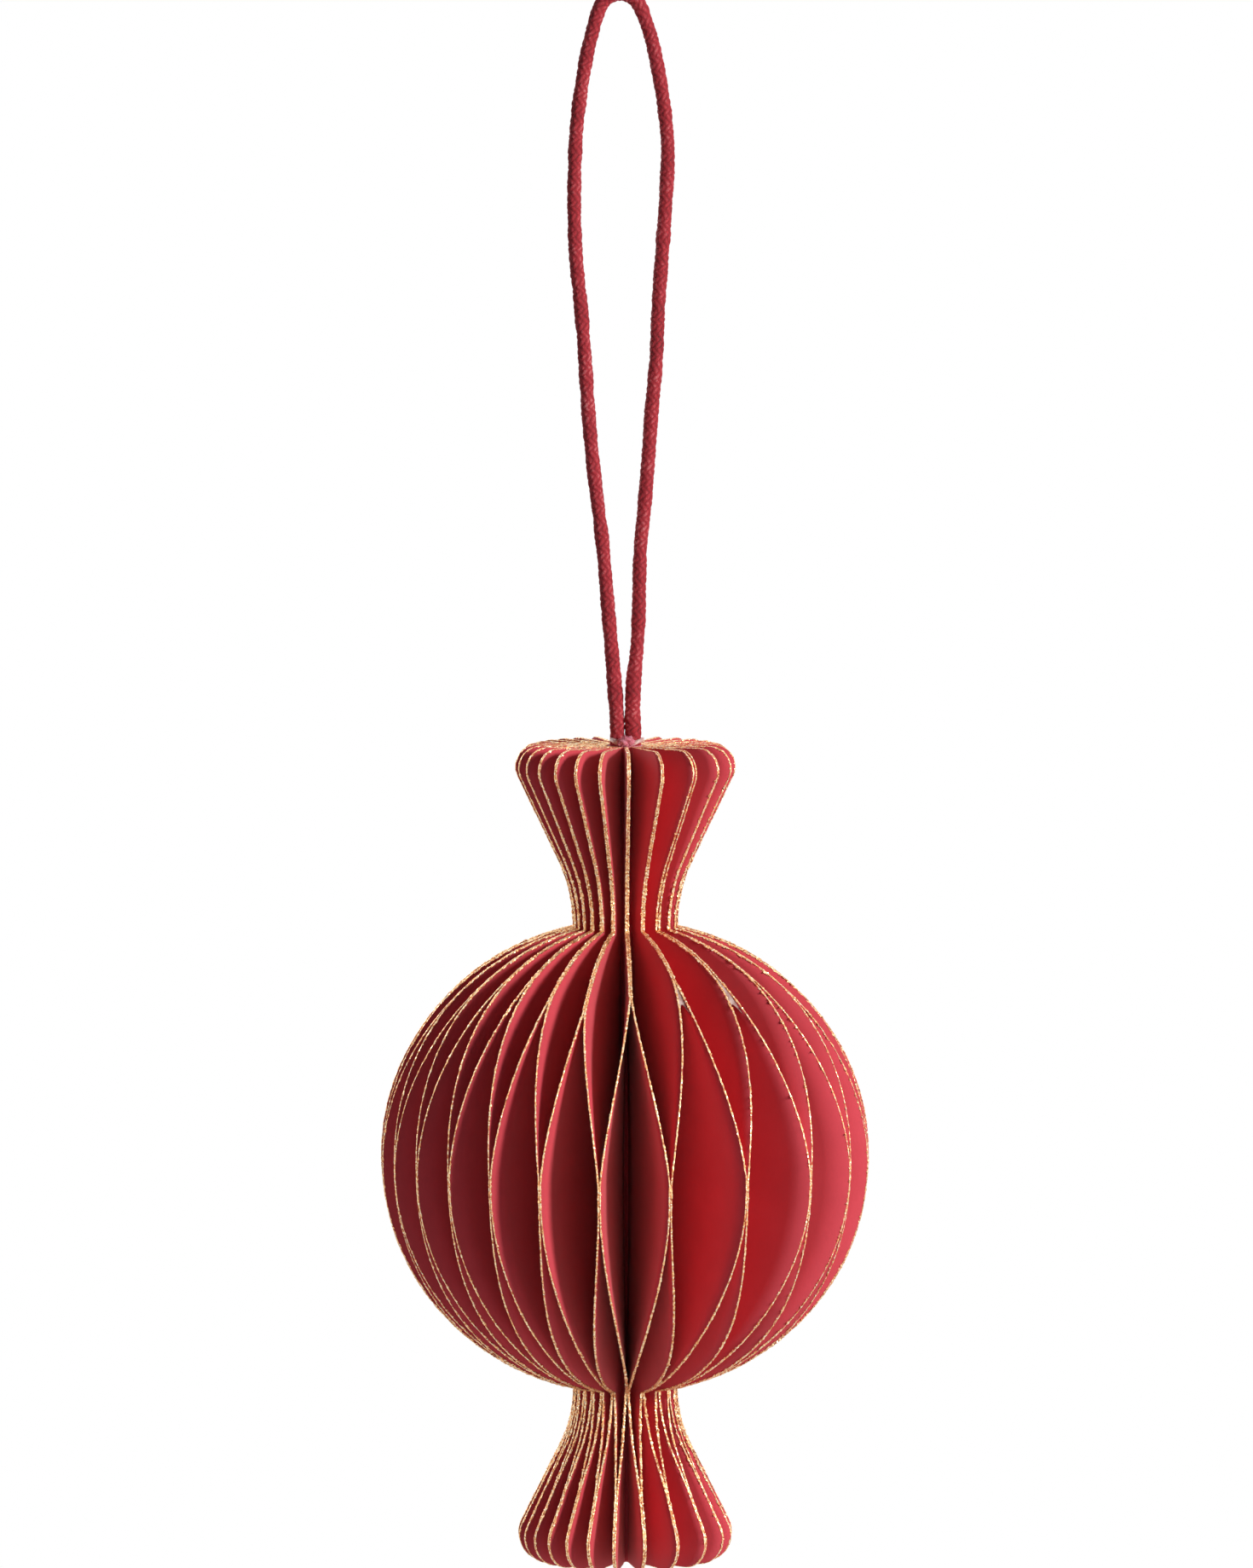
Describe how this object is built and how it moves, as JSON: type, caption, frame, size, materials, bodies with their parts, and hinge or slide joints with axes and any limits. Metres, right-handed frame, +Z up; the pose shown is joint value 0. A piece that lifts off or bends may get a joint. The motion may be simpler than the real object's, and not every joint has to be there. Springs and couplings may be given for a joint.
{
  "type": "accordion paper lantern",
  "caption": "Hanging honeycomb ornament of red card leaves with gold edges: a flared cap, a ball and a flared foot on a loop of cord; folds shut like a book.",
  "frame": {"origin": "inside of the top of the hanging loop, where a hook or a twig carries the lantern", "axes": "+Z up along the spine; -Y is the front; +X is the right seen from the front"},
  "size_m": [0.0803, 0.0804, 0.2588],
  "materials": {
    "red_card_even": "matte",
    "red_card_odd": "matte",
    "red_cotton_cord": "matte",
    "pink_thread": "matte",
    "hot_glue": "satin",
    "double_sided_tape": "matte"
  },
  "bodies": {
    "core": {"binding_thread": "pink_thread", "glue_plug": "hot_glue", "hanging_cord": "red_cotton_cord"},
    "line_27": {"leaf_27": "red_card_even"},
    "line_28": {"leaf_28": "red_card_odd"},
    "line_29": {"leaf_29": "red_card_even"},
    "line_30": {"leaf_30": "red_card_odd"},
    "line_31": {"leaf_31": "red_card_even"},
    "line_32": {"leaf_32": "red_card_odd"},
    "line_33": {"leaf_33": "red_card_even"},
    "line_34": {"leaf_34": "red_card_odd"},
    "line_35": {"leaf_35": "red_card_even"},
    "line_36": {"leaf_36": "red_card_odd"},
    "line_37": {"leaf_37": "red_card_even"},
    "line_38": {"leaf_38": "red_card_odd"},
    "line_39": {"leaf_39": "red_card_even"},
    "line_40": {"leaf_40": "red_card_odd"},
    "line_41": {"leaf_41": "red_card_even"},
    "line_42": {"leaf_42": "red_card_odd"},
    "line_43": {"leaf_43": "red_card_even"},
    "line_44": {"leaf_44": "red_card_odd"},
    "line_45": {"leaf_45": "red_card_even"},
    "line_46": {"leaf_46": "red_card_odd"},
    "line_47": {"leaf_47": "red_card_even"},
    "line_48": {"leaf_48": "red_card_odd"},
    "line_49": {"leaf_49": "red_card_even"},
    "line_50": {"leaf_50": "red_card_odd"},
    "line_51": {"leaf_51": "red_card_even"},
    "line_52": {"leaf_52": "red_card_odd", "seam_pad_upper": "double_sided_tape", "seam_pad_lower": "double_sided_tape"},
    "line_25": {"leaf_26": "red_card_odd"},
    "line_24": {"leaf_25": "red_card_even"},
    "line_23": {"leaf_24": "red_card_odd"},
    "line_22": {"leaf_23": "red_card_even"},
    "line_21": {"leaf_22": "red_card_odd"},
    "line_20": {"leaf_21": "red_card_even"},
    "line_19": {"leaf_20": "red_card_odd"},
    "line_18": {"leaf_19": "red_card_even"},
    "line_17": {"leaf_18": "red_card_odd"},
    "line_16": {"leaf_17": "red_card_even"},
    "line_15": {"leaf_16": "red_card_odd"},
    "line_14": {"leaf_15": "red_card_even"},
    "line_13": {"leaf_14": "red_card_odd"},
    "line_12": {"leaf_13": "red_card_even"},
    "line_11": {"leaf_12": "red_card_odd"},
    "line_10": {"leaf_11": "red_card_even"},
    "line_09": {"leaf_10": "red_card_odd"},
    "line_08": {"leaf_09": "red_card_even"},
    "line_07": {"leaf_08": "red_card_odd"},
    "line_06": {"leaf_07": "red_card_even"},
    "line_05": {"leaf_06": "red_card_odd"},
    "line_04": {"leaf_05": "red_card_even"},
    "line_03": {"leaf_04": "red_card_odd"},
    "line_02": {"leaf_03": "red_card_even"},
    "line_01": {"leaf_02": "red_card_odd"},
    "line_00": {"leaf_01": "red_card_even"}
  },
  "joints": [
    {"name": "fold_leaf_27", "type": "hinge", "parent": "core", "child": "line_27", "pos_m": [-0.0024, 0.0022, -0.18982], "axis": [0, 0, 1], "range_deg": [-5.88, 0], "deforming": ["leaf_27"]},
    {"name": "fold_leaf_28", "type": "hinge", "parent": "line_27", "child": "line_28", "pos_m": [-0.00262, 0.00193, -0.18982], "axis": [0, 0, 1], "range_deg": [-5.83, 0], "deforming": ["leaf_28"]},
    {"name": "fold_leaf_29", "type": "hinge", "parent": "line_28", "child": "line_29", "pos_m": [-0.00281, 0.00164, -0.18982], "axis": [0, 0, 1], "range_deg": [-5.78, 0], "deforming": ["leaf_29"]},
    {"name": "fold_leaf_30", "type": "hinge", "parent": "line_29", "child": "line_30", "pos_m": [-0.00296, 0.00133, -0.18982], "axis": [0, 0, 1], "range_deg": [-5.74, 0], "deforming": ["leaf_30"]},
    {"name": "fold_leaf_31", "type": "hinge", "parent": "line_30", "child": "line_31", "pos_m": [-0.00309, 0.00101, -0.18982], "axis": [0, 0, 1], "range_deg": [-5.7, 0], "deforming": ["leaf_31"]},
    {"name": "fold_leaf_32", "type": "hinge", "parent": "line_31", "child": "line_32", "pos_m": [-0.00318, 0.00069, -0.18982], "axis": [0, 0, 1], "range_deg": [-5.67, 0], "deforming": ["leaf_32"]},
    {"name": "fold_leaf_33", "type": "hinge", "parent": "line_32", "child": "line_33", "pos_m": [-0.00323, 0.00035, -0.18982], "axis": [0, 0, 1], "range_deg": [-5.66, 0], "deforming": ["leaf_33"]},
    {"name": "fold_leaf_34", "type": "hinge", "parent": "line_33", "child": "line_34", "pos_m": [-0.00325, 0.00002, -0.18982], "axis": [0, 0, 1], "range_deg": [-5.64, 0], "deforming": ["leaf_34"]},
    {"name": "fold_leaf_35", "type": "hinge", "parent": "line_34", "child": "line_35", "pos_m": [-0.00323, -0.00032, -0.18982], "axis": [0, 0, 1], "range_deg": [-5.64, 0], "deforming": ["leaf_35"]},
    {"name": "fold_leaf_36", "type": "hinge", "parent": "line_35", "child": "line_36", "pos_m": [-0.00318, -0.00065, -0.18982], "axis": [0, 0, 1], "range_deg": [-5.64, 0], "deforming": ["leaf_36"]},
    {"name": "fold_leaf_37", "type": "hinge", "parent": "line_36", "child": "line_37", "pos_m": [-0.0031, -0.00098, -0.18982], "axis": [0, 0, 1], "range_deg": [-5.66, 0], "deforming": ["leaf_37"]},
    {"name": "fold_leaf_38", "type": "hinge", "parent": "line_37", "child": "line_38", "pos_m": [-0.00298, -0.0013, -0.18982], "axis": [0, 0, 1], "range_deg": [-5.68, 0], "deforming": ["leaf_38"]},
    {"name": "fold_leaf_39", "type": "hinge", "parent": "line_38", "child": "line_39", "pos_m": [-0.00283, -0.0016, -0.18982], "axis": [0, 0, 1], "range_deg": [-5.71, 0], "deforming": ["leaf_39"]},
    {"name": "fold_leaf_40", "type": "hinge", "parent": "line_39", "child": "line_40", "pos_m": [-0.00264, -0.00189, -0.18982], "axis": [0, 0, 1], "range_deg": [-5.74, 0], "deforming": ["leaf_40"]},
    {"name": "fold_leaf_41", "type": "hinge", "parent": "line_40", "child": "line_41", "pos_m": [-0.00243, -0.00216, -0.18982], "axis": [0, 0, 1], "range_deg": [-5.79, 0], "deforming": ["leaf_41"]},
    {"name": "fold_leaf_42", "type": "hinge", "parent": "line_41", "child": "line_42", "pos_m": [-0.00219, -0.0024, -0.18982], "axis": [0, 0, 1], "range_deg": [-5.84, 0], "deforming": ["leaf_42"]},
    {"name": "fold_leaf_43", "type": "hinge", "parent": "line_42", "child": "line_43", "pos_m": [-0.00191, -0.00263, -0.18982], "axis": [0, 0, 1], "range_deg": [-5.92, 0], "deforming": ["leaf_43"]},
    {"name": "fold_leaf_44", "type": "hinge", "parent": "line_43", "child": "line_44", "pos_m": [-0.00162, -0.00282, -0.18982], "axis": [0, 0, 1], "range_deg": [-6.03, 0], "deforming": ["leaf_44"]},
    {"name": "fold_leaf_45", "type": "hinge", "parent": "line_44", "child": "line_45", "pos_m": [-0.00129, -0.00298, -0.18982], "axis": [0, 0, 1], "range_deg": [-6.2, 0], "deforming": ["leaf_45"]},
    {"name": "fold_leaf_46", "type": "hinge", "parent": "line_45", "child": "line_46", "pos_m": [-0.00093, -0.00311, -0.18982], "axis": [0, 0, 1], "range_deg": [-6.49, 0], "deforming": ["leaf_46"]},
    {"name": "fold_leaf_47", "type": "hinge", "parent": "line_46", "child": "line_47", "pos_m": [-0.00054, -0.0032, -0.18982], "axis": [0, 0, 1], "range_deg": [-6.92, 0], "deforming": ["leaf_47"]},
    {"name": "fold_leaf_48", "type": "hinge", "parent": "line_47", "child": "line_48", "pos_m": [-0.00012, -0.00325, -0.18982], "axis": [0, 0, 1], "range_deg": [-7.5, 0], "deforming": ["leaf_48"]},
    {"name": "fold_leaf_49", "type": "hinge", "parent": "line_48", "child": "line_49", "pos_m": [0.00035, -0.00323, -0.18982], "axis": [0, 0, 1], "range_deg": [-8.15, 0], "deforming": ["leaf_49"]},
    {"name": "fold_leaf_50", "type": "hinge", "parent": "line_49", "child": "line_50", "pos_m": [0.00085, -0.00314, -0.18982], "axis": [0, 0, 1], "range_deg": [-8.76, 0], "deforming": ["leaf_50"]},
    {"name": "fold_leaf_51", "type": "hinge", "parent": "line_50", "child": "line_51", "pos_m": [0.00135, -0.00296, -0.18982], "axis": [0, 0, 1], "range_deg": [-9.14, 0], "deforming": ["leaf_51"]},
    {"name": "fold_leaf_52", "type": "hinge", "parent": "line_51", "child": "line_52", "pos_m": [0.00182, -0.00269, -0.18982], "axis": [0, 0, 1], "range_deg": [-9.21, 0], "deforming": ["leaf_52"]},
    {"name": "fold_leaf_26", "type": "hinge", "parent": "core", "child": "line_25", "pos_m": [-0.00214, 0.00244, -0.18982], "axis": [0, 0, 1], "range_deg": [0, 5.93], "deforming": ["leaf_26"]},
    {"name": "fold_leaf_25", "type": "hinge", "parent": "line_25", "child": "line_24", "pos_m": [-0.00186, 0.00266, -0.18982], "axis": [0, 0, 1], "range_deg": [0, 6], "deforming": ["leaf_25"]},
    {"name": "fold_leaf_24", "type": "hinge", "parent": "line_24", "child": "line_23", "pos_m": [-0.00156, 0.00285, -0.18982], "axis": [0, 0, 1], "range_deg": [0, 6.06], "deforming": ["leaf_24"]},
    {"name": "fold_leaf_23", "type": "hinge", "parent": "line_23", "child": "line_22", "pos_m": [-0.00123, 0.00301, -0.18982], "axis": [0, 0, 1], "range_deg": [0, 6.13], "deforming": ["leaf_23"]},
    {"name": "fold_leaf_22", "type": "hinge", "parent": "line_22", "child": "line_21", "pos_m": [-0.00088, 0.00313, -0.18982], "axis": [0, 0, 1], "range_deg": [0, 6.19], "deforming": ["leaf_22"]},
    {"name": "fold_leaf_21", "type": "hinge", "parent": "line_21", "child": "line_20", "pos_m": [-0.00052, 0.00321, -0.18982], "axis": [0, 0, 1], "range_deg": [0, 6.26], "deforming": ["leaf_21"]},
    {"name": "fold_leaf_20", "type": "hinge", "parent": "line_20", "child": "line_19", "pos_m": [-0.00015, 0.00325, -0.18982], "axis": [0, 0, 1], "range_deg": [0, 6.33], "deforming": ["leaf_20"]},
    {"name": "fold_leaf_19", "type": "hinge", "parent": "line_19", "child": "line_18", "pos_m": [0.00023, 0.00324, -0.18982], "axis": [0, 0, 1], "range_deg": [0, 6.39], "deforming": ["leaf_19"]},
    {"name": "fold_leaf_18", "type": "hinge", "parent": "line_18", "child": "line_17", "pos_m": [0.00061, 0.00319, -0.18982], "axis": [0, 0, 1], "range_deg": [0, 6.45], "deforming": ["leaf_18"]},
    {"name": "fold_leaf_17", "type": "hinge", "parent": "line_17", "child": "line_16", "pos_m": [0.00099, 0.0031, -0.18982], "axis": [0, 0, 1], "range_deg": [0, 6.51], "deforming": ["leaf_17"]},
    {"name": "fold_leaf_16", "type": "hinge", "parent": "line_16", "child": "line_15", "pos_m": [0.00135, 0.00296, -0.18982], "axis": [0, 0, 1], "range_deg": [0, 6.57], "deforming": ["leaf_16"]},
    {"name": "fold_leaf_15", "type": "hinge", "parent": "line_15", "child": "line_14", "pos_m": [0.0017, 0.00277, -0.18982], "axis": [0, 0, 1], "range_deg": [0, 6.61], "deforming": ["leaf_15"]},
    {"name": "fold_leaf_14", "type": "hinge", "parent": "line_14", "child": "line_13", "pos_m": [0.00202, 0.00254, -0.18982], "axis": [0, 0, 1], "range_deg": [0, 6.66], "deforming": ["leaf_14"]},
    {"name": "fold_leaf_13", "type": "hinge", "parent": "line_13", "child": "line_12", "pos_m": [0.00232, 0.00228, -0.18982], "axis": [0, 0, 1], "range_deg": [0, 6.69], "deforming": ["leaf_13"]},
    {"name": "fold_leaf_12", "type": "hinge", "parent": "line_12", "child": "line_11", "pos_m": [0.00258, 0.00198, -0.18982], "axis": [0, 0, 1], "range_deg": [0, 6.72], "deforming": ["leaf_12"]},
    {"name": "fold_leaf_11", "type": "hinge", "parent": "line_11", "child": "line_10", "pos_m": [0.0028, 0.00164, -0.18982], "axis": [0, 0, 1], "range_deg": [0, 6.74], "deforming": ["leaf_11"]},
    {"name": "fold_leaf_10", "type": "hinge", "parent": "line_10", "child": "line_09", "pos_m": [0.00299, 0.00128, -0.18982], "axis": [0, 0, 1], "range_deg": [0, 6.75], "deforming": ["leaf_10"]},
    {"name": "fold_leaf_09", "type": "hinge", "parent": "line_09", "child": "line_08", "pos_m": [0.00312, 0.0009, -0.18982], "axis": [0, 0, 1], "range_deg": [0, 6.76], "deforming": ["leaf_09"]},
    {"name": "fold_leaf_08", "type": "hinge", "parent": "line_08", "child": "line_07", "pos_m": [0.00321, 0.00051, -0.18982], "axis": [0, 0, 1], "range_deg": [0, 6.78], "deforming": ["leaf_08"]},
    {"name": "fold_leaf_07", "type": "hinge", "parent": "line_07", "child": "line_06", "pos_m": [0.00325, 0.0001, -0.18982], "axis": [0, 0, 1], "range_deg": [0, 6.82], "deforming": ["leaf_07"]},
    {"name": "fold_leaf_06", "type": "hinge", "parent": "line_06", "child": "line_05", "pos_m": [0.00324, -0.00031, -0.18982], "axis": [0, 0, 1], "range_deg": [0, 6.92], "deforming": ["leaf_06"]},
    {"name": "fold_leaf_05", "type": "hinge", "parent": "line_05", "child": "line_04", "pos_m": [0.00317, -0.00072, -0.18982], "axis": [0, 0, 1], "range_deg": [0, 7.11], "deforming": ["leaf_05"]},
    {"name": "fold_leaf_04", "type": "hinge", "parent": "line_04", "child": "line_03", "pos_m": [0.00305, -0.00114, -0.18982], "axis": [0, 0, 1], "range_deg": [0, 7.45], "deforming": ["leaf_04"]},
    {"name": "fold_leaf_03", "type": "hinge", "parent": "line_03", "child": "line_02", "pos_m": [0.00286, -0.00155, -0.18982], "axis": [0, 0, 1], "range_deg": [0, 7.91], "deforming": ["leaf_03"]},
    {"name": "fold_leaf_02", "type": "hinge", "parent": "line_02", "child": "line_01", "pos_m": [0.00259, -0.00196, -0.18982], "axis": [0, 0, 1], "range_deg": [0, 8.46], "deforming": ["leaf_02"]},
    {"name": "fold_leaf_01", "type": "hinge", "parent": "line_01", "child": "line_00", "pos_m": [0.00225, -0.00235, -0.18982], "axis": [0, 0, 1], "range_deg": [0, 8.94], "deforming": ["leaf_01"]}
  ],
  "couplings": [
    {"joint": "fold_leaf_28", "follows": "fold_leaf_27", "ratio": 0.99098},
    {"joint": "fold_leaf_29", "follows": "fold_leaf_27", "ratio": 0.98298},
    {"joint": "fold_leaf_30", "follows": "fold_leaf_27", "ratio": 0.97601},
    {"joint": "fold_leaf_31", "follows": "fold_leaf_27", "ratio": 0.97005},
    {"joint": "fold_leaf_32", "follows": "fold_leaf_27", "ratio": 0.96546},
    {"joint": "fold_leaf_33", "follows": "fold_leaf_27", "ratio": 0.96206},
    {"joint": "fold_leaf_34", "follows": "fold_leaf_27", "ratio": 0.96018},
    {"joint": "fold_leaf_35", "follows": "fold_leaf_27", "ratio": 0.9595},
    {"joint": "fold_leaf_36", "follows": "fold_leaf_27", "ratio": 0.96035},
    {"joint": "fold_leaf_37", "follows": "fold_leaf_27", "ratio": 0.9624},
    {"joint": "fold_leaf_38", "follows": "fold_leaf_27", "ratio": 0.96597},
    {"joint": "fold_leaf_39", "follows": "fold_leaf_27", "ratio": 0.97073},
    {"joint": "fold_leaf_40", "follows": "fold_leaf_27", "ratio": 0.97686},
    {"joint": "fold_leaf_41", "follows": "fold_leaf_27", "ratio": 0.98435},
    {"joint": "fold_leaf_42", "follows": "fold_leaf_27", "ratio": 0.9937},
    {"joint": "fold_leaf_43", "follows": "fold_leaf_27", "ratio": 1.0063},
    {"joint": "fold_leaf_44", "follows": "fold_leaf_27", "ratio": 1.025},
    {"joint": "fold_leaf_45", "follows": "fold_leaf_27", "ratio": 1.0551},
    {"joint": "fold_leaf_46", "follows": "fold_leaf_27", "ratio": 1.104},
    {"joint": "fold_leaf_47", "follows": "fold_leaf_27", "ratio": 1.1775},
    {"joint": "fold_leaf_48", "follows": "fold_leaf_27", "ratio": 1.2756},
    {"joint": "fold_leaf_49", "follows": "fold_leaf_27", "ratio": 1.3874},
    {"joint": "fold_leaf_50", "follows": "fold_leaf_27", "ratio": 1.4901},
    {"joint": "fold_leaf_51", "follows": "fold_leaf_27", "ratio": 1.5557},
    {"joint": "fold_leaf_52", "follows": "fold_leaf_27", "ratio": 1.5663},
    {"joint": "fold_leaf_26", "follows": "fold_leaf_27", "ratio": -1.0097},
    {"joint": "fold_leaf_25", "follows": "fold_leaf_27", "ratio": -1.0201},
    {"joint": "fold_leaf_24", "follows": "fold_leaf_27", "ratio": -1.0311},
    {"joint": "fold_leaf_23", "follows": "fold_leaf_27", "ratio": -1.0424},
    {"joint": "fold_leaf_22", "follows": "fold_leaf_27", "ratio": -1.0538},
    {"joint": "fold_leaf_21", "follows": "fold_leaf_27", "ratio": -1.0652},
    {"joint": "fold_leaf_20", "follows": "fold_leaf_27", "ratio": -1.0766},
    {"joint": "fold_leaf_19", "follows": "fold_leaf_27", "ratio": -1.0875},
    {"joint": "fold_leaf_18", "follows": "fold_leaf_27", "ratio": -1.098},
    {"joint": "fold_leaf_17", "follows": "fold_leaf_27", "ratio": -1.1077},
    {"joint": "fold_leaf_16", "follows": "fold_leaf_27", "ratio": -1.1169},
    {"joint": "fold_leaf_15", "follows": "fold_leaf_27", "ratio": -1.1251},
    {"joint": "fold_leaf_14", "follows": "fold_leaf_27", "ratio": -1.1322},
    {"joint": "fold_leaf_13", "follows": "fold_leaf_27", "ratio": -1.1382},
    {"joint": "fold_leaf_12", "follows": "fold_leaf_27", "ratio": -1.1429},
    {"joint": "fold_leaf_11", "follows": "fold_leaf_27", "ratio": -1.1465},
    {"joint": "fold_leaf_10", "follows": "fold_leaf_27", "ratio": -1.1491},
    {"joint": "fold_leaf_09", "follows": "fold_leaf_27", "ratio": -1.1509},
    {"joint": "fold_leaf_08", "follows": "fold_leaf_27", "ratio": -1.1538},
    {"joint": "fold_leaf_07", "follows": "fold_leaf_27", "ratio": -1.1608},
    {"joint": "fold_leaf_06", "follows": "fold_leaf_27", "ratio": -1.1771},
    {"joint": "fold_leaf_05", "follows": "fold_leaf_27", "ratio": -1.2103},
    {"joint": "fold_leaf_04", "follows": "fold_leaf_27", "ratio": -1.2666},
    {"joint": "fold_leaf_03", "follows": "fold_leaf_27", "ratio": -1.3464},
    {"joint": "fold_leaf_02", "follows": "fold_leaf_27", "ratio": -1.4388},
    {"joint": "fold_leaf_01", "follows": "fold_leaf_27", "ratio": -1.521}
  ]
}
